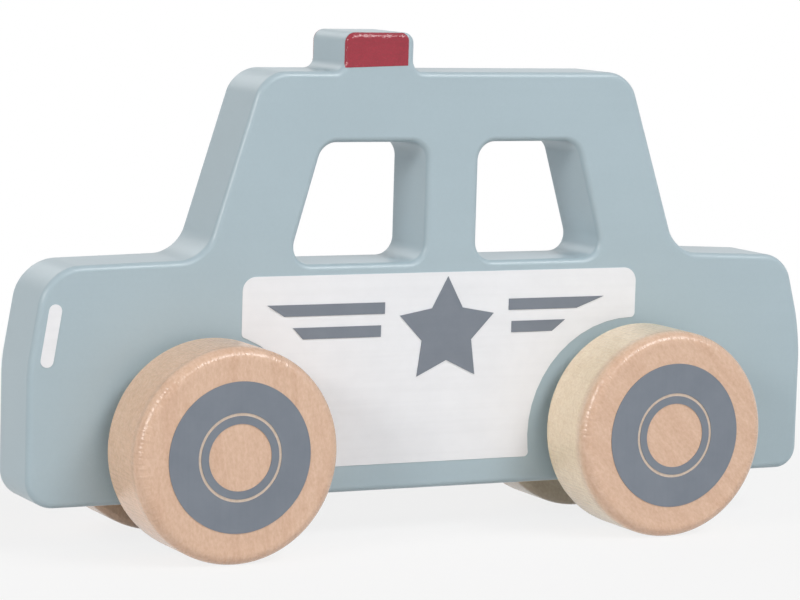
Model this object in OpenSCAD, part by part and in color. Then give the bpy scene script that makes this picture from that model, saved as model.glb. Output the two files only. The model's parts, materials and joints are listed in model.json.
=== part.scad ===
// Wooden push-along police car: a profile-cut board, four turned wheels on two dowel axles, printed trim.
// +X is the car's front, +Y its left side, +Z up.
// The wheels stand on z = 0 and the board's middle is at x = 0.

/* [Body board] */
// Distance between the two axles
wheelbase = 100; // [80:1:130]
// Thickness of the board
board_t = 17; // [12:0.5:24]
// Nose ahead of the front axle
front_overhang = 37.5; // [30:0.5:45]
// Tail behind the rear axle
rear_overhang = 43.9; // [35:0.1:55]
// Axle centres above the underside
axle_rise = 12.2; // [10:0.1:18]
// Height of the hood above the underside, at the windscreen
hood_h = 49.5; // [44:0.1:56]
// Height of the rear deck above the underside, at the rear screen
deck_h = 48.8; // [44:0.1:56]
// Height of the roof above the underside
roof_h = 87.7; // [78:0.1:100]
// Length of the hood, from the nose to the foot of the windscreen
hood_len = 37.7; // [30:0.1:44]
// How far the windscreen leans back from foot to roof
windscreen_run = 12; // [6:0.1:18]
// Length of the rear deck, from the foot of the rear screen to the tail
deck_len = 33; // [26:0.1:40]
// How far the rear screen leans forward from foot to roof
rear_screen_run = 12.9; // [6:0.1:18]
// How far the top of the nose is set back
nose_lean = 3.5; // [1:0.1:6]
// How far the top of the tail is set in
tail_lean = 4.6; // [1:0.1:7]
// How far the hood falls towards the nose
hood_fall = 0.8; // [0:0.1:4]
// How far the deck falls towards the tail
deck_fall = 1.2; // [0.5:0.1:4]
// Radius of the rounded-over edges all round the board
edge_r = 1.3; // [0.8:0.1:2.1]

/* [Body corners] */
// Foot of the nose
nose_foot_r = 6; // [3:0.1:8]
// Foot of the tail
tail_foot_r = 4.7; // [3:0.1:8]
// Top of the nose
nose_r = 9; // [4:0.1:11]
// Foot of the windscreen
cowl_r = 7.5; // [4:0.1:9]
// Roof corners
roof_r = 7; // [4:0.1:9]
// Foot of the rear screen
deck_foot_r = 7.5; // [3:0.1:9]
// Top of the tail
tail_r = 7; // [4:0.1:9]
// Slow bend of the nose
nose_bend_r = 30; // [15:1:60]
// Slow bend of the tail
tail_bend_r = 45; // [15:1:60]

/* [Windows] */
// Lower edge of both windows above the underside
sill_h = 48; // [44:0.1:52]
// Height of both windows
window_h = 25.1; // [18:0.1:28]
// Width of the front window at its top edge
front_window_top = 23.9; // [18:0.1:28]
// Width of the rear window at its top edge
rear_window_top = 23.5; // [18:0.1:28]
// How much wider both windows are at the foot
window_slant = 7.3; // [3:0.1:9]
// Width of the pillar between the windows
pillar_w = 12.1; // [11:0.1:16]
// Pillar's front edge ahead of the middle of the wheelbase
pillar_ahead = 0.1; // [-5:0.1:5]
// Corner radius of the windows
window_r = 4; // [3:0.1:4.5]

/* [Roof beacon] */
// Length of the beacon block
beacon_len = 15.9; // [13:0.1:22]
// Height of the beacon block above the roof
beacon_h = 8.1; // [7:0.1:12]
// Front of the beacon ahead of the middle of the wheelbase
beacon_ahead = 19.7; // [15:0.1:23]
// Corner radius of the beacon, foot and top
beacon_r = 2.3; // [2.2:0.1:3]

/* [Wheels and axles] */
// Wheel diameter
wheel_d = 44; // [36:0.5:48]
// Wheel width
wheel_w = 17; // [12:0.5:22]
// Gap between the board and each wheel
wheel_gap = 3; // [1.5:0.1:5]
// Rounding of the outer rim
rim_r = 2.5; // [1:0.1:4]
// Rounding of the inner rim
inner_rim_r = 1.5; // [0.5:0.1:3]
// Dowel diameter
axle_d = 8; // [6:0.5:10]
// Depth of the blind bore in each wheel
bore_depth = 11.5; // [8:0.5:13]
// Chamfer on the dowel ends
axle_chamfer = 0.6; // [0.3:0.1:1]
// Running clearance round the dowel in the board
running_gap = 0.3; // [0.2:0.05:0.6]
// Glue clearance round the dowel in the wheels
glue_gap = 0.05; // [0.02:0.01:0.1]
// Room left between the dowel end and the bottom of the bore
end_room = 0.5; // [0.2:0.1:1]

/* [Prints] */
// Thickness of every printed or painted layer
film_t = 0.15; // [0.1:0.05:0.3]
// Outer radius of the printed tyre ring
tyre_print_r = 15.3; // [12:0.1:16]
// Width of the printed tyre ring
tyre_print_w = 6.3; // [4:0.1:7]
// Bare line between the two printed rings
tyre_line_w = 0.6; // [0.3:0.1:1]
// Radius of the bare hub disc
hub_r = 6.8; // [5:0.1:7.5]
// White panel ahead of the middle of the wheelbase
panel_ahead = 41.6; // [34:0.1:46]
// White panel behind the middle of the wheelbase
panel_behind = 50.8; // [40:0.1:56]
// Top of the white panel above the underside
panel_top_h = 45.8; // [40:0.1:46]
// Bottom of the white panel above the underside
panel_bottom_h = 5.7; // [4:0.1:10]
// Radius of the panel's wheel arches
arch_r = 24.6; // [23:0.1:28]
// How far the arches are centred below the axles
arch_drop = 1.8; // [0:0.1:3]
// Radius of the panel's top corners
panel_r = 3; // [1:0.1:5]
// Small rounding of every other print corner
print_r = 1; // [0.2:0.1:1.5]
// Centre of the star behind the middle of the wheelbase
star_behind = 5.3; // [-5:0.1:12]
// Centre of the star above the underside
star_h = 33.3; // [28:0.1:34]
// Radius of the star's points
star_r = 11.6; // [8:0.1:12]
// Radius of the star's notches
star_notch_r = 6.1; // [4:0.1:7]
// Height of each bar
bar_h = 2.4; // [1.5:0.1:3]
// Step from the upper bars to the lower ones
bar_step = 4.8; // [3.5:0.1:6]
// Middle of the upper bars above the underside
bar_mid_h = 38.6; // [35:0.1:41]
// Gap from the star's centre to the upper bars
bar_gap = 14.6; // [13:0.1:18]
// How much further out the lower bars start
bar_shift = 0.8; // [0:0.1:2]
// Length of the headlamp print
lamp_len = 12.8; // [8:0.1:16]
// Width of the headlamp print
lamp_w = 2.75; // [2:0.05:4]
// Middle of the headlamp print back from the nose
lamp_back = 4.7; // [4:0.1:8]
// Middle of the headlamp print above the underside
lamp_h = 35; // [28:0.1:38]

/* [Hidden] */
$fn = 48;

paint_grey_blue = "#adbec6";
print_white = "#e8e8ea";
print_grey = "#7e858f";
bare_wood = "#d9b99f";
dowel_wood = "#c9a885";
paint_red = "#a14651";

// Overrun of every cut, past the face it opens on
cut_over = 1;
// Depth of the rounded rim that follows the outlines, and how far the flat middle is set in from them
rim_depth = 6.6;
middle_inset = 3;
window_inset = 2.5;
// Bends stand this much inside the runs that they join, and reach this angle into them
seam = 0.03;
seam_angle = 1.5;
// Strip of the beacon's wrapped paint that lies on the flat face
paint_lap = 1.5;
// Bare margins of the beacon's paint: at its edges, at its rear end and above the roof
paint_margin = 0.05;
paint_back = 1.6;
paint_foot = 0.8;
// How much higher the paint's lower edge is at the rear, and the rounding of its upper rear corner
paint_rise = 0.5;
paint_r = 1.7;
// Hairline gap under the paint where it wraps the rounded edge
paint_gap = 0.05;

half_len = (front_overhang + wheelbase + rear_overhang) / 2;
nose_x = half_len;
tail_x = -half_len;
front_axle_x = nose_x - front_overhang;
rear_axle_x = tail_x + rear_overhang;
mid_x = (front_axle_x + rear_axle_x) / 2;
half_board = board_t / 2;
axle_z = wheel_d / 2;
under_z = axle_z - axle_rise;
wheel_in = half_board + wheel_gap;
wheel_out = wheel_in + wheel_w;
axle_len = 2 * (wheel_in + bore_depth - end_room);
cowl_x = nose_x - hood_len;
deck_x = tail_x + deck_len;
roof_z = under_z + roof_h;
beacon_z = roof_z + beacon_h;
beacon_front = mid_x + beacon_ahead;
beacon_rear = beacon_front - beacon_len;
nose_bend_share = 0.57;
tail_bend_share = 0.62;
tail_z = under_z + deck_h - deck_fall;
sill_z = under_z + sill_h;
window_z = sill_z + window_h;
pillar_front = mid_x + pillar_ahead;
pillar_rear = pillar_front - pillar_w;
star_x = mid_x - star_behind;

// Corners of the board's outline, each [x, z, fillet radius], with the wood on the left of the path
body_corners = [
  [tail_x, under_z, tail_foot_r],
  [nose_x, under_z, nose_foot_r],
  [nose_x, under_z + hood_h * nose_bend_share, nose_bend_r],
  [nose_x - nose_lean, under_z + hood_h - hood_fall, nose_r],
  [cowl_x, under_z + hood_h, cowl_r],
  [cowl_x - windscreen_run, roof_z, roof_r],
  [beacon_front, roof_z, beacon_r],
  [beacon_front, beacon_z, beacon_r],
  [beacon_rear, beacon_z, beacon_r],
  [beacon_rear, roof_z, beacon_r],
  [deck_x + rear_screen_run, roof_z, roof_r],
  [deck_x, under_z + deck_h, deck_foot_r],
  [tail_x + tail_lean, tail_z, tail_r],
  [tail_x, under_z + deck_h * tail_bend_share, tail_bend_r]
];
// Runs and bends of that outline that the beacon's paint wraps
painted_runs = [6, 7];
painted_bends = [6, 7, 8];
front_window = [
  [pillar_front, sill_z, window_r],
  [pillar_front, window_z, window_r],
  [pillar_front + front_window_top, window_z, window_r],
  [pillar_front + front_window_top + window_slant, sill_z, window_r]
];
rear_window = [
  [pillar_rear - rear_window_top - window_slant, sill_z, window_r],
  [pillar_rear - rear_window_top, window_z, window_r],
  [pillar_rear, window_z, window_r],
  [pillar_rear, sill_z, window_r]
];

// Bars beside the star, each [side, row, length of the lower edge, slant of the outer end]
front_bar_len = 22.9;
front_bar_slant = 3.9;
front_low_len = 17.8;
front_low_slant = 2.3;
rear_bar_len = 16.4;
rear_bar_slant = 6.6;
rear_low_len = 9.8;
rear_low_slant = 3.1;
bars = [
  [1, 0, front_bar_len, front_bar_slant],
  [1, 1, front_low_len, front_low_slant],
  [-1, 0, rear_bar_len, rear_bar_slant],
  [-1, 1, rear_low_len, rear_low_slant]
];

// Corner path geometry: place of a corner, heading of the run after it, its turn, fillet and pivot
function corner(path, i) = path[(i + len(path)) % len(path)];
function spot(path, i) = [corner(path, i).x, corner(path, i).y];
function heading(path, i) = (spot(path, i + 1) - spot(path, i)) / norm(spot(path, i + 1) - spot(path, i));
function angle_of(v) = atan2(v.y, v.x);
function left_of(v) = [-v.y, v.x];
function turn(path, i) =
  let (a = heading(path, i - 1), b = heading(path, i)) atan2(a.x * b.y - a.y * b.x, a * b);
function fillet_reach(path, i) = corner(path, i).z * tan(abs(turn(path, i)) / 2);
function run_start(path, i) = spot(path, i) + heading(path, i) * fillet_reach(path, i);
function run_end(path, i) = spot(path, i + 1) - heading(path, i) * fillet_reach(path, i + 1);
function pivot(path, i) =
  run_end(path, i - 1) + left_of(heading(path, i - 1)) * corner(path, i).z * sign(turn(path, i));
function every(path) = [for (i = [0 : len(path) - 1]) i];
function inset_points(path, d) = [
  for (i = every(path))
    let (a = left_of(heading(path, i - 1)), b = left_of(heading(path, i)))
      spot(path, i) + (a + b) * d / (1 + a * b)
];

// Turns the drawing plane of the outlines upright, with its thickness along Y
module upright() {
  rotate([90, 0, 0]) children();
}

// Lays a flat drawing on the board's left face, as a layer that starts at a height above the face
module on_left_face(height) {
  translate([0, half_board + height + film_t, 0]) upright() linear_extrude(film_t) children();
}

// Sweeps the child profile, drawn as [depth, thickness], along the straight runs of a path
module sweep_runs(path, which) {
  $inset = 0;
  $depth = rim_depth;
  for (i = which)
    translate(run_start(path, i))
      rotate(angle_of(heading(path, i)))
        rotate([90, 0, 90])
          linear_extrude(norm(run_end(path, i) - run_start(path, i))) children();
}

// Turns the child profile round the fillets of a path, and keeps it on one side of the pivot
module sweep_bends(path, which) {
  $inset = seam;
  for (i = which) {
    r = corner(path, i).z;
    outward = turn(path, i) > 0;
    $depth = outward ? min(rim_depth, r) : rim_depth;
    from = outward ? angle_of(heading(path, i - 1)) - 90 : angle_of(heading(path, i)) + 90;
    translate(pivot(path, i))
      rotate_extrude(angle = abs(turn(path, i)) + 2 * seam_angle, start = from - seam_angle)
        intersection() {
          translate([r, 0]) mirror([outward ? 1 : 0, 0]) children();
          translate([0, -board_t]) square([r + rim_depth + cut_over, 2 * board_t]);
        }
  }
}

// What a rounding takes off the corner of a drawing: the corner is at the origin, the wood at -X and -Y
module corner_waste(r) {
  difference() {
    translate([-r, -r]) square(r + cut_over);
    translate([-r, -r]) circle(r);
  }
}

// Section of the board's rim: the edge at the left, rounded over on both faces
module rim_section() {
  half = half_board - $inset;
  difference() {
    polygon([[$inset, -half], [$depth, -half], [$depth, half], [$inset, half]]);
    for (side = [0, 1])
      mirror([0, side]) translate([$inset, half]) mirror([1, 0]) corner_waste(edge_r);
  }
}

// Section of a paint layer that wraps the rounded edge of the left face
module wrap_section() {
  face = half_board - $inset;
  under_r = edge_r + paint_gap;
  intersection() {
    translate([$inset + edge_r, face - edge_r])
      difference() {
        union() {
          circle(under_r + film_t);
          square([paint_lap, under_r + film_t]);
        }
        circle(under_r);
        square([paint_lap + cut_over, under_r]);
      }
    translate([$inset + paint_margin, face - edge_r])
      square([min($depth, edge_r + paint_lap) - paint_margin - $inset, under_r + film_t]);
  }
}

// Adds the rounded rim of a path to the board, one run or bend at a time
module add_runs(path, last) {
  if (last < 0) children();
  else {
    add_runs(path, last - 1) children();
    sweep_runs(path, [last]) rim_section();
  }
}

module add_bends(path, last) {
  if (last < 0) children();
  else {
    add_bends(path, last - 1) children();
    sweep_bends(path, [last]) rim_section();
  }
}

module rimmed(path) {
  add_bends(path, len(path) - 1) add_runs(path, len(path) - 1) children();
}

module car_body() {
  color(paint_grey_blue)
    difference() {
      upright()
        rimmed(rear_window) rimmed(front_window) rimmed(body_corners)
          linear_extrude(board_t, center = true)
            difference() {
              polygon(inset_points(body_corners, middle_inset));
              polygon(inset_points(front_window, window_inset));
              polygon(inset_points(rear_window, window_inset));
            }
      for (x = [rear_axle_x, front_axle_x])
        translate([x, 0, axle_z])
          upright() cylinder(r = axle_d / 2 + running_gap, h = board_t + 2 * cut_over, center = true);
    }
}

module axle(x) {
  r = axle_d / 2;
  half = axle_len / 2;
  color(dowel_wood)
    translate([x, 0, axle_z])
      upright()
        rotate_extrude()
          polygon([
            [0, -half], [r - axle_chamfer, -half], [r, -half + axle_chamfer],
            [r, half - axle_chamfer], [r - axle_chamfer, half], [0, half]
          ]);
}

// A turned wheel on the left side: the profile runs from the inner face at 0 to the outer face
module wheel(x) {
  color(bare_wood)
    translate([x, wheel_in, axle_z])
      rotate([-90, 0, 0])
        difference() {
          rotate_extrude()
            difference() {
              square([wheel_d / 2, wheel_w]);
              translate([wheel_d / 2, wheel_w]) corner_waste(rim_r);
              translate([wheel_d / 2, 0]) mirror([0, 1]) corner_waste(inner_rim_r);
            }
          translate([0, 0, -cut_over])
            cylinder(r = axle_d / 2 + glue_gap, h = bore_depth + cut_over);
        }
}

// Two printed rings on the outer face of a left wheel, with a bare line between them
module tyre_print(x) {
  line_out = tyre_print_r - tyre_print_w;
  line_in = line_out - tyre_line_w;
  color(print_grey)
    translate([x, wheel_out, axle_z])
      rotate([-90, 0, 0])
        linear_extrude(film_t) {
          difference() {
            circle(tyre_print_r);
            circle(line_out);
          }
          difference() {
            circle(line_in);
            circle(hub_r);
          }
        }
}

module door_panel() {
  low = under_z + panel_bottom_h;
  size = [panel_ahead + panel_behind, panel_top_h - panel_bottom_h];
  color(print_white)
    on_left_face(0)
      offset(r = print_r) offset(delta = -print_r)
        difference() {
          translate([mid_x - panel_behind, low])
            difference() {
              square(size);
              translate(size) corner_waste(panel_r);
              translate([0, size.y]) mirror([1, 0]) corner_waste(panel_r);
            }
          for (x = [rear_axle_x, front_axle_x])
            translate([x, axle_z - arch_drop]) circle(arch_r);
        }
}

module door_star() {
  tip_count = 5;
  color(print_grey)
    on_left_face(film_t)
      translate([star_x, under_z + star_h])
        polygon([
          for (i = [0 : 2 * tip_count - 1])
            let (r = i % 2 == 0 ? star_r : star_notch_r, a = 90 + 180 * i / tip_count)
              [r * cos(a), r * sin(a)]
        ]);
}

module door_bars() {
  color(print_grey)
    on_left_face(film_t)
      for (bar = bars)
        translate([star_x, under_z + bar_mid_h - bar[1] * bar_step])
          mirror([bar[0] < 0 ? 1 : 0, 0])
            translate([bar_gap + bar[1] * bar_shift, 0])
              polygon([[0, -bar_h / 2], [bar[2], -bar_h / 2], [bar[2] + bar[3], bar_h / 2], [0, bar_h / 2]]);
}

module headlamp() {
  straight = lamp_len - lamp_w;
  lean = atan2(nose_lean, hood_h * (1 - nose_bend_share));
  color(print_white)
    on_left_face(0)
      translate([nose_x - lamp_back, under_z + lamp_h])
        rotate(lean) {
          square([lamp_w, straight], center = true);
          for (end = [-1, 1])
            translate([0, end * straight / 2]) circle(lamp_w / 2);
        }
}

// Outline of the red paint on the side of the beacon block
module paint_area() {
  rear = beacon_rear + paint_back;
  front = beacon_front - paint_margin;
  low = roof_z + paint_foot;
  difference() {
    polygon([[rear, low + paint_rise], [front, low], [front, beacon_z], [rear, beacon_z]]);
    translate([rear, beacon_z]) mirror([1, 0]) corner_waste(paint_r);
  }
}

// Red paint on the side of the beacon block, wrapped over its rounded edges
module beacon_paint() {
  color(paint_red)
    intersection() {
      union() {
        upright() mirror([0, 0, 1]) {
          sweep_runs(body_corners, painted_runs) wrap_section();
          sweep_bends(body_corners, painted_bends) wrap_section();
        }
        on_left_face(0)
          translate([beacon_rear + edge_r, roof_z]) square([beacon_len - 2 * edge_r, beacon_h - edge_r]);
      }
      translate([0, half_board + cut_over, 0])
        upright() linear_extrude(half_board + cut_over) paint_area();
    }
}

module right_side() {
  mirror([0, 1, 0]) children();
}

car_body();
axle(front_axle_x);  // front_axle
axle(rear_axle_x);  // rear_axle
wheel(front_axle_x);  // wheel_front_left
right_side() wheel(front_axle_x);  // wheel_front_right
wheel(rear_axle_x);  // wheel_rear_left
right_side() wheel(rear_axle_x);  // wheel_rear_right
tyre_print(front_axle_x);  // tyre_print_front_left
right_side() tyre_print(front_axle_x);  // tyre_print_front_right
tyre_print(rear_axle_x);  // tyre_print_rear_left
right_side() tyre_print(rear_axle_x);  // tyre_print_rear_right
door_panel();  // door_panel_left
right_side() door_panel();  // door_panel_right
door_star();  // door_star_left
right_side() door_star();  // door_star_right
door_bars();  // door_bars_left
right_side() door_bars();  // door_bars_right
headlamp();  // headlamp_left
right_side() headlamp();  // headlamp_right
beacon_paint();  // beacon_paint_left
right_side() beacon_paint();  // beacon_paint_right
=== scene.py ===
import json
import math

import bmesh
import bpy
from mathutils import Matrix, Vector


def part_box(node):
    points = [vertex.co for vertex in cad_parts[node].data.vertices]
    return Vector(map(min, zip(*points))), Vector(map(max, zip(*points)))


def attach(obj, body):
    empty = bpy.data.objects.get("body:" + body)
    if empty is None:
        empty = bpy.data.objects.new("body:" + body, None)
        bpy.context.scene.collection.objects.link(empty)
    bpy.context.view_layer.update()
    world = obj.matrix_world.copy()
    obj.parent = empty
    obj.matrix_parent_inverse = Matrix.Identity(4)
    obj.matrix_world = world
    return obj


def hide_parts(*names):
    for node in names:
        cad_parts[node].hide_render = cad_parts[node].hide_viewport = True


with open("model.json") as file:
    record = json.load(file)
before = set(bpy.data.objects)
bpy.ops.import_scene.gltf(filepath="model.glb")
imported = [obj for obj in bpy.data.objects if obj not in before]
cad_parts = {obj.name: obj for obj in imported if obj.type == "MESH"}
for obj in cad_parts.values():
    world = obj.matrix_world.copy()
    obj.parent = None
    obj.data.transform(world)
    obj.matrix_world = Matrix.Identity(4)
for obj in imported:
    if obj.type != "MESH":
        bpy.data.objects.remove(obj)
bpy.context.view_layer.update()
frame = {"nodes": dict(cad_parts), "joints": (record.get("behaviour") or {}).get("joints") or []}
nodes = frame["nodes"]
axles = {joint["child"]: joint["pos_m"] for joint in frame["joints"]}  # middles, by body
sides = {"left": 1, "right": -1}
mm = 0.001
white = (1, 1, 1)
print("frame loaded:", len(nodes), "nodes")


# measuring, selecting and starting pieces

reach = {
    "decimals": 6,  # boxes are taken to a micrometre
    "seed": 10 * mm,  # plane that is merged to a chain's first vertex
    "select": 0.02 * mm,  # a vertex this near to a place is at it
    "merge": 0.002 * mm,
    "trim": 0.001 * mm,
}


def boxOf(nodeName):
    # lowest and highest corner as plain numbers
    return [[round(value, reach["decimals"]) for value in corner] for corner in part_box(nodeName)]


def deselectAll():
    bpy.ops.object.select_all(action="DESELECT")


def pickOnly(obj):
    deselectAll()
    obj.select_set(True)
    bpy.context.view_layer.objects.active = obj


def selectVertsAt(obj, places):
    mesh = bmesh.from_edit_mesh(obj.data)
    for vert in mesh.verts:
        vert.select_set(any((vert.co - place).length < reach["select"] for place in places))
    mesh.select_flush_mode()
    bmesh.update_edit_mesh(obj.data)


def drawChain(name, places):
    # one vertex, pulled from corner to corner
    deselectAll()
    bpy.ops.mesh.primitive_plane_add(size=reach["seed"], location=(0, 0, 0))
    obj = bpy.context.object
    obj.name = name
    bpy.ops.object.mode_set(mode="EDIT")
    bpy.ops.mesh.select_mode(type="VERT")
    bpy.ops.mesh.select_all(action="SELECT")
    bpy.ops.mesh.merge(type="CENTER")
    bpy.ops.transform.translate(value=places[0])
    for start, end in zip(places, places[1:]):
        bpy.ops.mesh.extrude_region_move(TRANSFORM_OT_translate={"value": end - start})
    return obj


def roundCorner(obj, place, offset, segments):
    # edit mode: one corner of an outline becomes an arc
    bpy.ops.mesh.select_mode(type="VERT")
    bpy.ops.mesh.select_all(action="DESELECT")
    selectVertsAt(obj, [place])
    bpy.ops.mesh.bevel(offset=offset, offset_type="OFFSET", affect="VERTICES",
                       segments=segments, profile=0.5, clamp_overlap=False)


def applyModifier(obj, kind, **settings):
    pickOnly(obj)
    modifier = obj.modifiers.new(kind.lower(), kind)
    for key, value in settings.items():
        setattr(modifier, key, value)
    bpy.ops.object.modifier_apply(modifier=modifier.name)


def cutAway(obj, cutter):
    applyModifier(obj, "BOOLEAN", operation="DIFFERENCE", solver="EXACT", object=cutter)
    bpy.data.objects.remove(cutter)


def closeUp(obj, smoothAngle):
    # doubles merged, faces turned outwards, shading smooth up to an angle
    pickOnly(obj)
    bpy.ops.object.mode_set(mode="EDIT")
    bpy.ops.mesh.select_all(action="SELECT")
    bpy.ops.mesh.remove_doubles(threshold=reach["merge"])
    bpy.ops.mesh.normals_make_consistent(inside=False)
    bpy.ops.object.mode_set(mode="OBJECT")
    bpy.ops.object.shade_smooth_by_angle(angle=smoothAngle)


# the board

board = {
    "hoodRise": 49.5 * mm,  # heights above the underside
    "deckRise": 48.8 * mm,
    "roofRise": 87.7 * mm,
    "sillRise": 48 * mm,
    "hoodFall": 0.8 * mm,  # slopes towards the nose and the tail
    "deckFall": 1.2 * mm,
    "hoodLength": 37.7 * mm,
    "deckLength": 33 * mm,
    "windscreenRun": 12 * mm,
    "rearScreenRun": 12.9 * mm,
    "noseLean": 3.5 * mm,
    "tailLean": 4.6 * mm,
    "noseBendShare": 0.57,  # of the hood's height, where the nose starts to lean
    "tailBendShare": 0.62,  # of the deck's height
    "beaconLength": 15.9 * mm,
    "beaconAhead": 19.7 * mm,  # its front, from the middle of the wheelbase
    "windowHeight": 25.1 * mm,
    "frontWindow": 23.9 * mm,  # widths at the top edge
    "rearWindow": 23.5 * mm,
    "windowSlant": 7.3 * mm,  # how much wider they are at the sill
    "pillar": 12.1 * mm,
    "pillarAhead": 0.1 * mm,  # its front, from the middle of the wheelbase
    "noseFootRadius": 6 * mm,
    "noseBendRadius": 30 * mm,
    "noseRadius": 9 * mm,
    "cowlRadius": 7.5 * mm,
    "roofRadius": 7 * mm,
    "beaconRadius": 2.3 * mm,
    "deckFootRadius": 7.5 * mm,
    "tailRadius": 7 * mm,
    "tailBendRadius": 45 * mm,
    "tailFootRadius": 4.7 * mm,
    "windowRadius": 4 * mm,
    "cornerSteps": 14,
    "edgeRadius": 1.3 * mm,  # the rounded edge of both faces
    "edgeSteps": 8,
    "boreRadius": 4.3 * mm,
    "boreSteps": 96,
    "boreCutter": 34 * mm,  # reaches past both faces
    "flatFacing": 0.99,  # a face whose normal is this far to one side is part of its flat
    "smoothAngle": math.radians(35),
    "normalWeight": 100,
}
boardLow, boardHigh = boxOf("car_body")
tailX, underZ = boardLow[0], boardLow[2]
noseX, faceY, topZ = boardHigh
wheelbaseMiddle = sum(x for x, y, z in axles.values()) / len(axles)


def boardCorners():
    # x, z and radius, from the tail along the underside, up the nose and back over the roof
    hood, deck, roof = (underZ + board[key] for key in ("hoodRise", "deckRise", "roofRise"))
    cowl = noseX - board["hoodLength"]
    deckFoot = tailX + board["deckLength"]
    beaconFront = wheelbaseMiddle + board["beaconAhead"]
    beaconRear = beaconFront - board["beaconLength"]
    return [
        (tailX, underZ, board["tailFootRadius"]),
        (noseX, underZ, board["noseFootRadius"]),
        (noseX, underZ + board["hoodRise"] * board["noseBendShare"], board["noseBendRadius"]),
        (noseX - board["noseLean"], hood - board["hoodFall"], board["noseRadius"]),
        (cowl, hood, board["cowlRadius"]),
        (cowl - board["windscreenRun"], roof, board["roofRadius"]),
        (beaconFront, roof, board["beaconRadius"]),
        (beaconFront, topZ, board["beaconRadius"]),
        (beaconRear, topZ, board["beaconRadius"]),
        (beaconRear, roof, board["beaconRadius"]),
        (deckFoot + board["rearScreenRun"], roof, board["roofRadius"]),
        (deckFoot, deck, board["deckFootRadius"]),
        (tailX + board["tailLean"], deck - board["deckFall"], board["tailRadius"]),
        (tailX, underZ + board["deckRise"] * board["tailBendShare"], board["tailBendRadius"]),
    ]


def windowCorners(lowRear, lowFront, highFront, highRear):
    sill = underZ + board["sillRise"]
    head = sill + board["windowHeight"]
    radius = board["windowRadius"]
    return [(lowRear, sill, radius), (lowFront, sill, radius),
            (highFront, head, radius), (highRear, head, radius)]


def boardOutlines():
    # both windows are upright at the pillar
    pillarFront = wheelbaseMiddle + board["pillarAhead"]
    pillarRear = pillarFront - board["pillar"]
    frontEnd = pillarFront + board["frontWindow"]
    rearEnd = pillarRear - board["rearWindow"]
    slant = board["windowSlant"]
    return {
        "board_painted": boardCorners(),
        "front_hole": windowCorners(pillarFront, frontEnd + slant, frontEnd, pillarFront),
        "rear_hole": windowCorners(rearEnd - slant, pillarRear, pillarRear, rearEnd),
    }


def drawLoop(name, corners, y):
    # a closed outline with rounded corners
    places = [Vector((x, y, z)) for x, z, radius in corners]
    obj = drawChain(name, places)
    bpy.ops.mesh.select_all(action="DESELECT")
    selectVertsAt(obj, [places[0], places[-1]])
    bpy.ops.mesh.edge_face_add()
    for i, (x, z, radius) in enumerate(corners):
        before = places[i] - places[i - 1]
        after = places[(i + 1) % len(places)] - places[i]
        offset = radius * math.tan(before.angle(after) / 2)
        roundCorner(obj, places[i], offset, board["cornerSteps"])
    bpy.ops.object.mode_set(mode="OBJECT")
    return obj


def roundOver(obj, side):
    # the flat of one side is inset and raised along a quarter circle
    mesh = bmesh.from_edit_mesh(obj.data)
    bpy.ops.mesh.select_mode(type="FACE")
    bpy.ops.mesh.select_all(action="DESELECT")
    for face in mesh.faces:
        face.select_set(face.normal.y * side > board["flatFacing"])
    bmesh.update_edit_mesh(obj.data)
    steps, radius = board["edgeSteps"], board["edgeRadius"]
    for step in range(steps):
        low, high = (math.pi / 2 * k / steps for k in (step, step + 1))
        inward = radius * (math.cos(low) - math.cos(high))
        outward = radius * (math.sin(high) - math.sin(low))
        bpy.ops.mesh.inset(thickness=inward, depth=outward, use_even_offset=True, use_boundary=True)
        level = faceY - radius + radius * math.sin(high)
        bpy.ops.transform.resize(value=(1, 0, 1), center_override=(0, level * side, 0))  # kept flat


def boreAxle(obj, place):
    deselectAll()
    bpy.ops.mesh.primitive_cylinder_add(vertices=board["boreSteps"], radius=board["boreRadius"],
                                        depth=board["boreCutter"], location=place,
                                        rotation=(math.pi / 2, 0, 0))
    bore = bpy.context.object
    bpy.ops.object.transform_apply(location=True, rotation=True, scale=True)
    cutAway(obj, bore)


def makeBoard():
    flat = faceY - board["edgeRadius"]  # where the rounded edge begins
    loops = [drawLoop(name, corners, -flat) for name, corners in boardOutlines().items()]
    pickOnly(loops[0])
    for loop in loops:
        loop.select_set(True)
    bpy.ops.object.join()
    obj = bpy.context.object
    bpy.ops.object.mode_set(mode="EDIT")
    bpy.ops.mesh.select_all(action="SELECT")
    bpy.ops.mesh.fill(use_beauty=True)
    bpy.ops.mesh.select_all(action="SELECT")
    bpy.ops.mesh.extrude_region_move(TRANSFORM_OT_translate={"value": (0, flat * 2, 0)})
    bpy.ops.mesh.select_all(action="SELECT")
    bpy.ops.mesh.normals_make_consistent(inside=False)
    for side in (-1, 1):
        roundOver(obj, side)
    bpy.ops.object.mode_set(mode="OBJECT")
    for place in axles.values():
        boreAxle(obj, place)
    closeUp(obj, board["smoothAngle"])
    applyModifier(obj, "WEIGHTED_NORMAL", keep_sharp=True, weight=board["normalWeight"])
    return obj


# the beacon's red paint

coat = {
    "rise": 0.5 * mm,  # how much higher the lower edge is at the rear
    "wrap": 0.78 * mm,  # how far it goes round the rounded edge
    "thick": 0.05 * mm,
    "cornerRadius": 1.7 * mm,  # at the top, behind
    "cornerCuts": 7,
    "smoothAngle": math.radians(40),
}


def trim(place, outward):
    # edit mode: everything past a plane goes
    bpy.ops.mesh.select_all(action="SELECT")
    bpy.ops.mesh.bisect(plane_co=place, plane_no=outward, clear_outer=True, threshold=reach["trim"])


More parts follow.
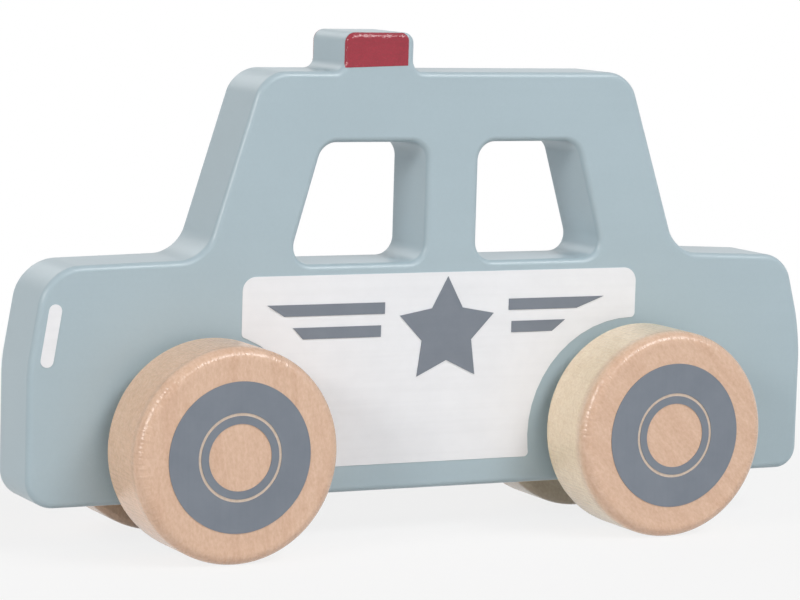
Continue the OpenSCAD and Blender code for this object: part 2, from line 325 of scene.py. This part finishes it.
def coatBeacon(name, nodeName, side):
    # a skin of the board's own surface, thickened outwards
    pickOnly(carBoard)
    bpy.ops.object.duplicate()
    obj = bpy.context.object
    obj.name = name
    low, high = boxOf(nodeName)
    rear, front, foot = low[0], high[0], low[2]
    radius = coat["cornerRadius"]
    bpy.ops.object.mode_set(mode="EDIT")
    trim((0, side * (faceY - coat["wrap"]), 0), (0, -side, 0))
    trim((rear, 0, 0), (-1, 0, 0))
    trim((front, 0, 0), (1, 0, 0))
    below = Vector((-coat["rise"], 0, rear - front)).normalized()
    trim((rear, 0, foot + coat["rise"]), below)
    roundMiddle = Vector((rear + radius, 0, topZ - radius))
    for cut in range(1, coat["cornerCuts"]):
        angle = math.pi / 2 * cut / coat["cornerCuts"]
        outward = Vector((-math.cos(angle), 0, math.sin(angle)))
        trim(roundMiddle + outward * radius, outward)
    bpy.ops.object.mode_set(mode="OBJECT")
    applyModifier(obj, "SOLIDIFY", thickness=coat["thick"], offset=1)
    closeUp(obj, coat["smoothAngle"])
    return obj


carBoard = makeBoard()
redCoats = {}
for sideName, side in sides.items():
    nodeName = "beacon_paint_" + sideName
    redCoats[sideName] = coatBeacon("red_coat_" + sideName, nodeName, side)
    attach(redCoats[sideName], "board")
    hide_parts(nodeName)
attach(carBoard, "board")
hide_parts("car_body")
print("board modelled:", len(carBoard.data.polygons), "faces")
for obj in redCoats.values():
    print("beacon painted:", len(obj.data.polygons), "faces")


# the wheels

wheel = {
    "boreRadius": 4.05 * mm,
    "boreDepth": 11.5 * mm,
    "outerRound": 2.5 * mm,
    "innerRound": 1.5 * mm,
    "roundSteps": 9,
    "spinSteps": 128,
    "faceLoops": (13 * mm, 6 * mm),  # extra rings of edges on the outer face
    "smoothAngle": math.radians(35),
    "normalWeight": 80,
}
wheelPlaces = {f"wheel_{end}_{sideName}": (end + "_wheels", side)  # body and side of each node
               for end in ("front", "rear") for sideName, side in sides.items()}


def turnWheel(name, nodeName):
    # half a section drawn above the axle, then spun round it
    body, side = wheelPlaces[nodeName]
    centre = Vector(axles[body])
    inner, outer = sorted(abs(y) for x, y, z in boxOf(nodeName))  # faces, from the car's middle

    def spot(radius, y):
        return centre + Vector((0, y * side, radius))

    boreEnd = inner + wheel["boreDepth"]
    innerCorner = spot(centre.z, inner)  # the wheel stands on the floor
    outerCorner = spot(centre.z, outer)
    faceLoops = [spot(radius, outer) for radius in wheel["faceLoops"]]
    obj = drawChain(name, [
        spot(0, boreEnd), spot(wheel["boreRadius"], boreEnd), spot(wheel["boreRadius"], inner),
        innerCorner, outerCorner, *faceLoops, spot(0, outer),
    ])
    roundCorner(obj, innerCorner, wheel["innerRound"], wheel["roundSteps"])
    roundCorner(obj, outerCorner, wheel["outerRound"], wheel["roundSteps"])
    bpy.ops.mesh.select_all(action="SELECT")
    bpy.ops.mesh.spin(steps=wheel["spinSteps"], angle=2 * math.pi, center=centre, axis=(0, 1, 0))
    bpy.ops.object.mode_set(mode="OBJECT")
    closeUp(obj, wheel["smoothAngle"])
    applyModifier(obj, "WEIGHTED_NORMAL", keep_sharp=True, weight=wheel["normalWeight"])
    return obj


wheels = {}
for nodeName, (body, side) in wheelPlaces.items():
    wheels[nodeName] = turnWheel("turned_" + nodeName, nodeName)
    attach(wheels[nodeName], body)
    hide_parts(nodeName)
print("wheels turned:", len(wheels))


# nodes that the materials share

noiseRange = (0.3, 0.7)  # most of a noise lies between these


def newMaterial(name):
    material = bpy.data.materials.new(name)
    material.use_nodes = True
    tree = material.node_tree
    return material, tree, tree.nodes["Principled BSDF"]


def addNode(tree, kind, **sockets):
    node = tree.nodes.new(kind)
    for key, value in sockets.items():
        node.inputs[key].default_value = value
    return node


def objectSpace(tree, place=(0, 0, 0), stretch=(1, 1, 1), turn=(0, 0, 0)):
    # object coordinates, moved so that place is the middle of the pattern
    coords = tree.nodes.new("ShaderNodeTexCoord")
    mapping = addNode(tree, "ShaderNodeMapping", Location=place, Rotation=turn, Scale=stretch)
    mapping.vector_type = "TEXTURE"
    tree.links.new(coords.outputs["Object"], mapping.inputs["Vector"])
    return mapping.outputs["Vector"]


def noise(tree, vector, detail, scale=1, roughness=0.5, distortion=0):
    node = addNode(tree, "ShaderNodeTexNoise", Scale=scale, Detail=detail, Roughness=roughness,
                   Distortion=distortion)
    tree.links.new(vector, node.inputs["Vector"])
    return node.outputs["Fac"]


def sums(tree, operation, *values):
    node = tree.nodes.new("ShaderNodeMath")
    node.operation = operation
    for socket, value in zip(node.inputs, values):
        if isinstance(value, (int, float)):
            socket.default_value = value
        else:
            tree.links.new(value, socket)
    return node.outputs[0]


def ramp(tree, value, places, colours):
    node = tree.nodes.new("ShaderNodeValToRGB")
    marks = node.color_ramp.elements
    for place in places[1:-1]:
        marks.new(place)
    for mark, place, colour in zip(marks, places, colours):
        mark.position = place
        mark.color = (*colour, 1)
    tree.links.new(value, node.inputs["Fac"])
    return node.outputs["Color"]


def span(tree, value, source, target):
    # the source range becomes the target range, clamped
    node = tree.nodes.new("ShaderNodeMapRange")
    for key, number in zip(("From Min", "From Max", "To Min", "To Max"), (*source, *target)):
        node.inputs[key].default_value = number
    tree.links.new(value, node.inputs["Value"])
    return node.outputs["Result"]


def blendColour(tree, mix, first, second, factor):
    node = tree.nodes.new("ShaderNodeMix")
    node.data_type = "RGBA"
    node.blend_type = mix
    node.clamp_factor = True
    colourA, colourB = node.inputs[6], node.inputs[7]  # its sockets for colours
    for socket, value in ((node.inputs["Factor"], factor), (colourA, first), (colourB, second)):
        if isinstance(value, (int, float)):
            socket.default_value = value
        elif isinstance(value, tuple):
            socket.default_value = (*value, 1)
        else:
            tree.links.new(value, socket)
    return node.outputs[2]


def shade(tree, colour, pattern, places, tint, strength):
    # tinted where the pattern is low
    return blendColour(tree, "MULTIPLY", colour, ramp(tree, pattern, places, (tint, white)), strength)


def finishShader(tree, shader, colour, roughness, bumps):
    # each bump is height, strength and depth
    tree.links.new(colour, shader.inputs["Base Color"])
    tree.links.new(roughness, shader.inputs["Roughness"])
    last = None
    for height, strength, depth in bumps:
        node = addNode(tree, "ShaderNodeBump", Strength=strength, Distance=depth)
        tree.links.new(height, node.inputs["Height"])
        if last is not None:
            tree.links.new(last, node.inputs["Normal"])
        last = node.outputs["Normal"]
    tree.links.new(last, shader.inputs["Normal"])


def dress(obj, material):
    obj.data.materials.clear()
    obj.data.materials.append(material)


# the board's paint

boardGrain = (60 * mm, 4 * mm, 1.6 * mm)  # length of the grain along x, y and z
paint = {
    "deep": (0.406, 0.509, 0.56),
    "light": (0.426, 0.534, 0.588),
    "roughness": (0.28, 0.36),
    "cloudSize": (50 * mm, 50 * mm, 30 * mm),
    "cloudRange": (0.15, 0.85),
    "clouds": {"scale": 1.6, "detail": 2, "roughness": 0.45},
    "grain": {"detail": 6, "roughness": 0.55, "distortion": 0.3},
    "skin": {"scale": 1500, "detail": 3, "roughness": 0.6},
    "grainShade": ((0.2, 0.8), (0.95, 0.955, 0.96), 0.35),  # range, darkest tint, strength
    "skinShade": ((0.25, 0.75), (0.955, 0.957, 0.96), 0.6),
    "grainBump": (0.07, 0.06 * mm),  # strength, depth
    "skinBump": (0.06, 0.03 * mm),
}


def makeBoardPaint():
    material, tree, shader = newMaterial("satin_grey_blue_paint")
    clouds = noise(tree, objectSpace(tree, stretch=paint["cloudSize"]), **paint["clouds"])
    grain = noise(tree, objectSpace(tree, stretch=boardGrain), **paint["grain"])
    skin = noise(tree, objectSpace(tree), **paint["skin"])
    tone = ramp(tree, clouds, paint["cloudRange"], (paint["deep"], paint["light"]))
    tone = shade(tree, tone, grain, *paint["grainShade"])
    tone = shade(tree, tone, skin, *paint["skinShade"])
    roughness = span(tree, clouds, paint["cloudRange"], paint["roughness"])
    finishShader(tree, shader, tone, roughness,
                 [(grain, *paint["grainBump"]), (skin, *paint["skinBump"])])
    return material


# the wood of wheels and dowels

wood = {
    "pale": (0.785, 0.55, 0.408),
    "mid": (0.72, 0.48, 0.345),
    "toneAt": (0.28, 0.5, 0.72),  # mid, pale and mid again across the bands
    # the treads' tone is partly the paler side grain and partly painted light and sheen that the
    # front-facing treads catch; the rear treads get more of this painted light
    "tread": {"front_wheels": (0.975, 0.68, 0.482), "rear_wheels": (0.995, 0.855, 0.64)},
    "treadFrom": (27.6 * mm, 24.5 * mm),  # places along the axle between which that tone sets in
    "treadShare": 0.9,
    "lean": {"front_wheels": 0.12, "rear_wheels": 0.75},  # of the grain
    "plankStep": (13 * mm, 20 * mm, 50 * mm),  # each wheel is from another place in the plank
    "dowelPlank": (0, 0, 300 * mm),
    "roughness": (0.19, 0.268),
    "gloss": 0.7,
    "bandSize": (5 * mm, 5 * mm, 30 * mm),
    "bands": {"detail": 5, "distortion": 0.6},
    "streakSize": (0.8 * mm, 0.8 * mm, 6 * mm),
    "streaks": {"detail": 5, "roughness": 0.65, "distortion": 0.5},
    "streakShade": ((0.25, 0.75), (0.93, 0.905, 0.885), 0.3),  # range, darkest tint, strength
    "streakBump": (0.05, 0.05 * mm),  # strength, depth
    "fleckSize": (0.6 * mm, 0.6 * mm, 1.1 * mm),
    "flecks": {"detail": 3, "roughness": 0.7},
    "fleckShade": ((0.25, 0.65), (0.87, 0.82, 0.77), 1.0),
    "fleckBump": (0.06, 0.04 * mm),
    "mottleSize": (2.2 * mm, 2.2 * mm, 4.5 * mm),
    "mottle": {"detail": 3, "roughness": 0.6},
    "mottleShade": ((0.3, 0.7), (0.93, 0.9, 0.87), 0.7),
    "markDensity": (44, 260),  # sanding marks on the rim, by angle and along the axle
    "marks": {"detail": 2},
    "markBump": (1.0, 0.2 * mm),
    "rim": (18.5 * mm, 20.5 * mm),  # radii between which the marks set in
    "lineTone": (0.735, 0.61, 0.51),  # the bare line between the printed rings, hazed by ink
    "lineRadius": 8.7 * mm,
    "lineReach": (0.5 * mm, 0.8 * mm),
    "lineFrom": 28 * mm,  # only on the outer face
}


def aroundAxle(tree, axle):
    # distance from the axle, angle round it and place along it
    parts = tree.nodes.new("ShaderNodeSeparateXYZ")
    tree.links.new(objectSpace(tree, axle), parts.inputs[0])
    x, y, z = parts.outputs
    squares = [sums(tree, "MULTIPLY", way, way) for way in (x, z)]
    radius = sums(tree, "SQRT", sums(tree, "ADD", *squares))
    return radius, sums(tree, "ARCTAN2", z, x), y


def rimMarks(tree, radius, angle, along):
    around = tree.nodes.new("ShaderNodeCombineXYZ")
    for socket, value, density in zip(around.inputs, (angle, along), wood["markDensity"]):
        tree.links.new(sums(tree, "MULTIPLY", value, density), socket)
    marks = noise(tree, around.outputs[0], **wood["marks"])
    return sums(tree, "MULTIPLY", marks, span(tree, radius, wood["rim"], (0, 1)))


def ringLine(tree, radius, fromMiddle):
    # 1 on the bare line, 0 away from it
    offLine = sums(tree, "ABSOLUTE", sums(tree, "SUBTRACT", radius, wood["lineRadius"]))
    onFace = sums(tree, "GREATER_THAN", fromMiddle, wood["lineFrom"])
    return sums(tree, "MULTIPLY", span(tree, offLine, wood["lineReach"], (1, 0)), onFace)


def makeTurnedWood(name, axle, plank, treadTone, lean=0):
    # grain runs upright or leans, and plank is the middle of its pattern, from the axle
    material, tree, shader = newMaterial(name)
    place = [a + b for a, b in zip(axle, plank)]

    def grainNoise(size, settings):
        return noise(tree, objectSpace(tree, place, wood[size], (0, lean, 0)), **wood[settings])

    bands = grainNoise("bandSize", "bands")
    streaks = grainNoise("streakSize", "streaks")
    flecks = grainNoise("fleckSize", "flecks")
    mottle = grainNoise("mottleSize", "mottle")
    radius, angle, along = aroundAxle(tree, axle)
    fromMiddle = sums(tree, "ABSOLUTE", along)
    tone = ramp(tree, bands, wood["toneAt"], (wood["mid"], wood["pale"], wood["mid"]))
    # towards the outer side the wood takes the tread tone, which holds painted light and sheen on the
    # wheels' treads
    onTread = span(tree, fromMiddle, wood["treadFrom"], (0, wood["treadShare"]))
    tone = blendColour(tree, "MIX", tone, treadTone, onTread)
    tone = blendColour(tree, "MIX", tone, wood["lineTone"], ringLine(tree, radius, fromMiddle))
    tone = shade(tree, tone, streaks, *wood["streakShade"])
    tone = shade(tree, tone, flecks, *wood["fleckShade"])
    tone = shade(tree, tone, mottle, *wood["mottleShade"])
    marks = rimMarks(tree, radius, angle, along)
    shader.inputs["Specular IOR Level"].default_value = wood["gloss"]
    roughness = span(tree, bands, noiseRange, wood["roughness"])
    finishShader(tree, shader, tone, roughness, [
        (streaks, *wood["streakBump"]), (flecks, *wood["fleckBump"]), (marks, *wood["markBump"]),
    ])
    return material


# printed ink and the red paint

wheelGrain = (0.8 * mm, 0.8 * mm, 22 * mm)
ink = {
    "clouds": {"scale": 120, "detail": 5, "roughness": 0.65},
    "cloudRange": (0.32, 0.68),
    "grain": {"detail": 5, "roughness": 0.6},  # the wood under the ink
    "grainShade": ((0.3, 0.55), (0.95, 0.95, 0.95), 0.5),  # range, darkest tint, strength
    "grainBump": (0.1, 0.05 * mm),  # strength, depth
    "white": {
        "tones": ((0.835, 0.85, 0.88), (0.87, 0.885, 0.915)),
        "roughness": (0.4, 0.5),
        "gloss": 0.5,
        "skin": {"scale": 900, "detail": 2},
        "skinBump": (0.03, 0.2 * mm),
    },
    "grey": {
        "tones": ((0.178, 0.205, 0.246), (0.204, 0.232, 0.274)),
        "roughness": (0.45, 0.58),
        "gloss": 0.5,
        "skin": {"scale": 900, "detail": 2},
        "skinBump": (0.04, 0.2 * mm),
    },
    "red": {
        "tones": ((0.307, 0.011, 0.03), (0.352, 0.017, 0.038)),
        "roughness": (0.08, 0.14),
        "gloss": 0.6,
        "skin": {"scale": 1300, "detail": 2},
        "skinBump": (1.0, 0.21 * mm),
    },
}


def makeInk(name, kind, grainSize):
    material, tree, shader = newMaterial(name)
    clouds = noise(tree, objectSpace(tree), **ink["clouds"])
    grain = noise(tree, objectSpace(tree, stretch=grainSize), **ink["grain"])
    skin = noise(tree, objectSpace(tree), **ink[kind]["skin"])
    tone = ramp(tree, clouds, ink["cloudRange"], ink[kind]["tones"])
    tone = shade(tree, tone, grain, *ink["grainShade"])
    shader.inputs["Specular IOR Level"].default_value = ink[kind]["gloss"]
    roughness = span(tree, clouds, noiseRange, ink[kind]["roughness"])
    finishShader(tree, shader, tone, roughness,
                 [(grain, *ink["grainBump"]), (skin, *ink[kind]["skinBump"])])
    return material


# every piece gets its finish

whiteInk = makeInk("white_screen_print", "white", boardGrain)
greyInk = makeInk("grey_screen_print", "grey", boardGrain)
tyreInk = makeInk("grey_tyre_print", "grey", wheelGrain)
redPaint = makeInk("red_beacon_paint", "red", boardGrain)
dowelMiddle = (0, 0, axles["front_wheels"][2])
dowelWood = makeTurnedWood("dowel_wood", dowelMiddle, wood["dowelPlank"], wood["pale"])
nodeFinishes = {  # by the start of a node's name
    "tyre_print": tyreInk,
    "door_panel": whiteInk,
    "headlamp": whiteInk,
    "door_star": greyInk,
    "door_bars": greyInk,
    "front_axle": dowelWood,
    "rear_axle": dowelWood,
}
for nodeName, obj in nodes.items():
    for start, material in nodeFinishes.items():
        if nodeName.startswith(start):
            dress(obj, material)
stepX, stepY, stepZ = wood["plankStep"]
for i, (nodeName, (body, side)) in enumerate(wheelPlaces.items()):
    plank = (stepX * i, stepY * side, stepZ * i)
    turnedWood = makeTurnedWood("wood_" + nodeName, axles[body], plank, wood["tread"][body],
                                wood["lean"][body])
    dress(wheels[nodeName], turnedWood)
dress(carBoard, makeBoardPaint())
for obj in redCoats.values():
    dress(obj, redPaint)
print("materials on")


# camera, light and floor

view = {
    "place": (318.2 * mm, 632.5 * mm, 132.3 * mm),
    "azimuth": 153.637,  # degrees
    "elevation": 6.743,
    "roll": 1.633,
    "lens": 151.34,  # millimetres, as the sensor is
    "sensor": 36,
}


def aimCamera():
    azimuth, elevation, roll = (math.radians(view[key]) for key in ("azimuth", "elevation", "roll"))
    level = math.cos(elevation)
    back = Vector((math.sin(azimuth) * level, -math.cos(azimuth) * level, math.sin(elevation)))
    right = Vector((0, 0, 1)).cross(back).normalized()
    up = back.cross(right)
    across = right * math.cos(roll) + up * math.sin(roll)
    upright = up * math.cos(roll) - right * math.sin(roll)
    turn = Matrix((across, upright, back)).transposed().to_4x4()
    deselectAll()
    bpy.ops.object.camera_add()
    camera = bpy.context.object
    camera.matrix_world = Matrix.Translation(view["place"]) @ turn
    camera.data.lens = view["lens"]
    camera.data.sensor_width = view["sensor"]
    bpy.context.scene.camera = camera


lamps = {  # places and sizes in metres
    "softbox": {"place": (-0.57, 0.72, 0.98), "size": (0.66, 0.48), "watts": 5.4, "colour": white},
    "key": {"place": (1.25, 0.66, 0.6), "size": (0.62, 0.32), "watts": 7.7, "colour": (1, 0.975, 0.945)},
    "fill": {"place": (-0.35, 1.2, 1.08), "size": (0.8, 0.5), "watts": 6.0, "colour": white},
    "back": {"place": (0.35, -1.2, 0.8), "size": (1.0, 0.6), "watts": 2.2, "colour": white},
}
lampTarget = Vector((0, 0, 50 * mm))


def hangLamps():
    for name, settings in lamps.items():
        deselectAll()
        bpy.ops.object.light_add(type="AREA", location=settings["place"])
        lamp = bpy.context.object
        lamp.name = name
        lamp.data.shape = "RECTANGLE"
        lamp.data.size, lamp.data.size_y = settings["size"]
        lamp.data.energy = settings["watts"]
        lamp.data.color = settings["colour"]
        aim = lampTarget - Vector(settings["place"])
        lamp.rotation_euler = aim.to_track_quat("-Z", "Y").to_euler()


room = {
    "ambient": (0.66, 0.04),  # light from the horizon and from overhead
    "backdrop": 1.0,  # strength of the white that is seen
    "floorSize": 12,
    "floorColour": (0.72, 0.72, 0.72),
    "floorRoughness": 0.9,
    "whiteness": 0.82,  # of the floor near the car
    "shadowReach": (120 * mm, 340 * mm),  # it gets white between these distances
}


def seenFactor(tree):
    # 1 where the camera, a reflection or a transmission looks at it
    path = tree.nodes.new("ShaderNodeLightPath")
    total = path.outputs["Is Camera Ray"]
    for ray in ("Is Glossy Ray", "Is Transmission Ray"):
        total = sums(tree, "MAXIMUM", total, path.outputs[ray])
    return total


def mixShaders(tree, factor, first, second, output):
    pick = tree.nodes.new("ShaderNodeMixShader")
    tree.links.new(factor, pick.inputs["Fac"])
    tree.links.new(first.outputs[0], pick.inputs[1])
    tree.links.new(second.outputs[0], pick.inputs[2])
    tree.links.new(pick.outputs[0], tree.nodes[output].inputs["Surface"])


def makeWorld():
    scene = bpy.context.scene
    scene.view_settings.view_transform = "Standard"
    scene.world = bpy.data.worlds.new("studio")
    scene.world.use_nodes = True
    tree = scene.world.node_tree
    ambient = tree.nodes["Background"]
    ambient.inputs["Color"].default_value = (*white, 1)
    coords = tree.nodes.new("ShaderNodeTexCoord")
    direction = tree.nodes.new("ShaderNodeSeparateXYZ")
    tree.links.new(coords.outputs["Generated"], direction.inputs[0])
    strength = span(tree, direction.outputs["Z"], (0, 1), room["ambient"])
    tree.links.new(strength, ambient.inputs["Strength"])
    seen = addNode(tree, "ShaderNodeBackground", Color=(*white, 1), Strength=room["backdrop"])
    mixShaders(tree, seenFactor(tree), ambient, seen, "World Output")


def layFloor():
    deselectAll()
    bpy.ops.mesh.primitive_plane_add(size=room["floorSize"], location=(0, 0, 0))
    floor = bpy.context.object
    floor.name = "floor"
    material, tree, shader = newMaterial("pale_floor")
    shader.inputs["Base Color"].default_value = (*room["floorColour"], 1)
    shader.inputs["Roughness"].default_value = room["floorRoughness"]
    shader.inputs["Specular IOR Level"].default_value = 0
    glow = addNode(tree, "ShaderNodeEmission", Color=(*white, 1), Strength=room["backdrop"])
    away = tree.nodes.new("ShaderNodeVectorMath")
    away.operation = "LENGTH"
    tree.links.new(objectSpace(tree), away.inputs[0])
    far = span(tree, away.outputs["Value"], room["shadowReach"], (room["whiteness"], 1))
    factor = sums(tree, "MULTIPLY", far, seenFactor(tree))
    mixShaders(tree, factor, shader, glow, "Material Output")
    dress(floor, material)


aimCamera()
hangLamps()
makeWorld()
layFloor()
print("camera, lamps and floor set")
